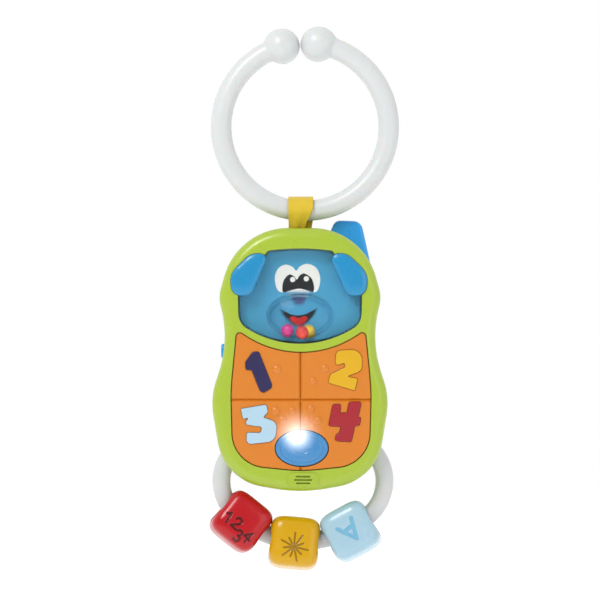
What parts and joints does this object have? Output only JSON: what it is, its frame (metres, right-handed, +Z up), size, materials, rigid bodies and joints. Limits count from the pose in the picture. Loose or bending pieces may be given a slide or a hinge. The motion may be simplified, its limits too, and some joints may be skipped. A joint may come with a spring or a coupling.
{
  "type": "toy cell phone",
  "caption": "Infant toy phone hung by a ribbon from a C-shaped ring, with press keys, a light button, a rattle window and sliding cube beads.",
  "frame": {"origin": "centre of the C-shaped hanging ring", "axes": "+Z up as the toy hangs, the toy's front looks along -Y, +X to the right when seen from the front"},
  "size_m": [0.0758, 0.0308, 0.218],
  "materials": {
    "ring_plastic": "smooth moulded white plastic",
    "ribbon": "woven yellow ribbon",
    "steel": "plain steel",
    "green_plastic": "satin moulded lime plastic",
    "clear_plastic": "clear moulded plastic",
    "face_blue": "printed blue plastic",
    "ear_blue": "glossy blue plastic",
    "ball_pink": "small coloured ball",
    "ball_red": "small coloured ball",
    "ball_yellow": "small coloured ball",
    "orange_plastic": "satin orange plastic",
    "digit_purple": "moulded number",
    "digit_yellow": "moulded number",
    "digit_sky": "moulded number",
    "digit_crimson": "moulded number",
    "button_blue": "translucent blue plastic",
    "silicone": "silicone rubber",
    "board": "green circuit board",
    "lamp_lens": "clear lamp",
    "cell_jacket": "printed metal jacket",
    "nickel": "nickel plated steel",
    "black_plastic": "black plastic",
    "bead_red": "glossy red plastic",
    "bead_yellow": "glossy yellow plastic",
    "bead_blue": "glossy pale blue plastic",
    "lead_jacket": "insulated lead"
  },
  "bodies": {
    "ring": {"hang_ring": "ring_plastic"},
    "strap": {"strap": "ribbon"},
    "phone": {"strap_pin": "steel", "front_cover": "green_plastic", "rear_cover": "green_plastic", "battery_door": "green_plastic", "shell_screws": "steel", "door_screw": "steel", "window": "clear_plastic", "face_plate": "face_blue", "ear_left": "ear_blue", "ear_right": "ear_blue", "antenna": "ear_blue", "handle_ring": "ring_plastic", "keypad_membrane": "silicone", "circuit_board": "board", "lamp": "lamp_lens", "speaker": "steel", "batteries": "cell_jacket", "battery_contacts": "nickel", "contact_springs": "nickel", "side_switch": "black_plastic", "battery_leads": "lead_jacket", "speaker_leads": "lead_jacket"},
    "key_1": {"key_1": "orange_plastic", "digit_1": "digit_purple"},
    "key_2": {"key_2": "orange_plastic", "digit_2": "digit_yellow"},
    "key_3": {"key_3": "orange_plastic", "digit_3": "digit_sky"},
    "key_4": {"key_4": "orange_plastic", "digit_4": "digit_crimson"},
    "light_button": {"light_button": "button_blue"},
    "side_button": {"side_button": "ear_blue"},
    "pink_ball": {"rattle_ball_pink": "ball_pink"},
    "red_ball": {"rattle_ball_red": "ball_red"},
    "yellow_ball": {"rattle_ball_yellow": "ball_yellow"},
    "yellow_bead": {"bead_yellow": "bead_yellow"},
    "red_bead": {"bead_red": "bead_red"},
    "blue_bead": {"bead_blue": "bead_blue"}
  },
  "joints": [
    {"name": "strap_slide", "type": "hinge", "parent": "ring", "child": "strap", "pos_m": [0, 0, 0], "axis": [0, 1, 0], "range_deg": [-140, 140]},
    {"name": "strap_swing", "type": "hinge", "parent": "strap", "child": "phone", "pos_m": [-0.002, 0, -0.0407], "axis": [1, 0, 0], "range_deg": [-30, 30], "deforming": ["strap"]},
    {"name": "key_1_press", "type": "slide", "parent": "phone", "child": "key_1", "axis": [0, 1, 0], "range_m": [0, 0.0012], "stiffness_N_per_m": 800, "springref_m": -0.0005},
    {"name": "key_2_press", "type": "slide", "parent": "phone", "child": "key_2", "axis": [0, 1, 0], "range_m": [0, 0.0012], "stiffness_N_per_m": 800, "springref_m": -0.0005},
    {"name": "key_3_press", "type": "slide", "parent": "phone", "child": "key_3", "axis": [0, 1, 0], "range_m": [0, 0.0012], "stiffness_N_per_m": 800, "springref_m": -0.0005},
    {"name": "key_4_press", "type": "slide", "parent": "phone", "child": "key_4", "axis": [0, 1, 0], "range_m": [0, 0.0012], "stiffness_N_per_m": 800, "springref_m": -0.0005},
    {"name": "light_button_press", "type": "slide", "parent": "phone", "child": "light_button", "axis": [0, 1, 0], "range_m": [0, 0.0012], "stiffness_N_per_m": 600, "springref_m": -0.0005},
    {"name": "side_button_press", "type": "slide", "parent": "phone", "child": "side_button", "axis": [1, 0, 0], "range_m": [0, 0.001], "stiffness_N_per_m": 600, "springref_m": -0.0005},
    {"name": "pink_ball_roll", "type": "hinge", "parent": "phone", "child": "pink_ball", "pos_m": [-0.002, 0, -0.06588], "axis": [0, 1, 0], "range_deg": [-16, 12]},
    {"name": "red_ball_roll", "type": "hinge", "parent": "phone", "child": "red_ball", "pos_m": [-0.002, 0, -0.06588], "axis": [0, 1, 0], "range_deg": [-16, 12]},
    {"name": "yellow_ball_roll", "type": "hinge", "parent": "phone", "child": "yellow_ball", "pos_m": [-0.002, 0, -0.06588], "axis": [0, 1, 0], "range_deg": [-16, 12]},
    {"name": "yellow_bead_slide", "type": "hinge", "parent": "phone", "child": "yellow_bead", "pos_m": [-0.0008, 0, -0.1268], "axis": [0, 1, 0], "range_deg": [-2.5, 2.5]},
    {"name": "red_bead_slide", "type": "hinge", "parent": "yellow_bead", "child": "red_bead", "pos_m": [-0.0134, 0, -0.1426], "axis": [0, 1, 0], "range_deg": [0, 20]},
    {"name": "blue_bead_slide", "type": "hinge", "parent": "yellow_bead", "child": "blue_bead", "pos_m": [0.0078, 0, -0.1416], "axis": [0, 1, 0], "range_deg": [-35, 0]}
  ],
  "couplings": [
    {"joint": "red_ball_roll", "follows": "pink_ball_roll", "ratio": 1},
    {"joint": "yellow_ball_roll", "follows": "pink_ball_roll", "ratio": 1}
  ]
}
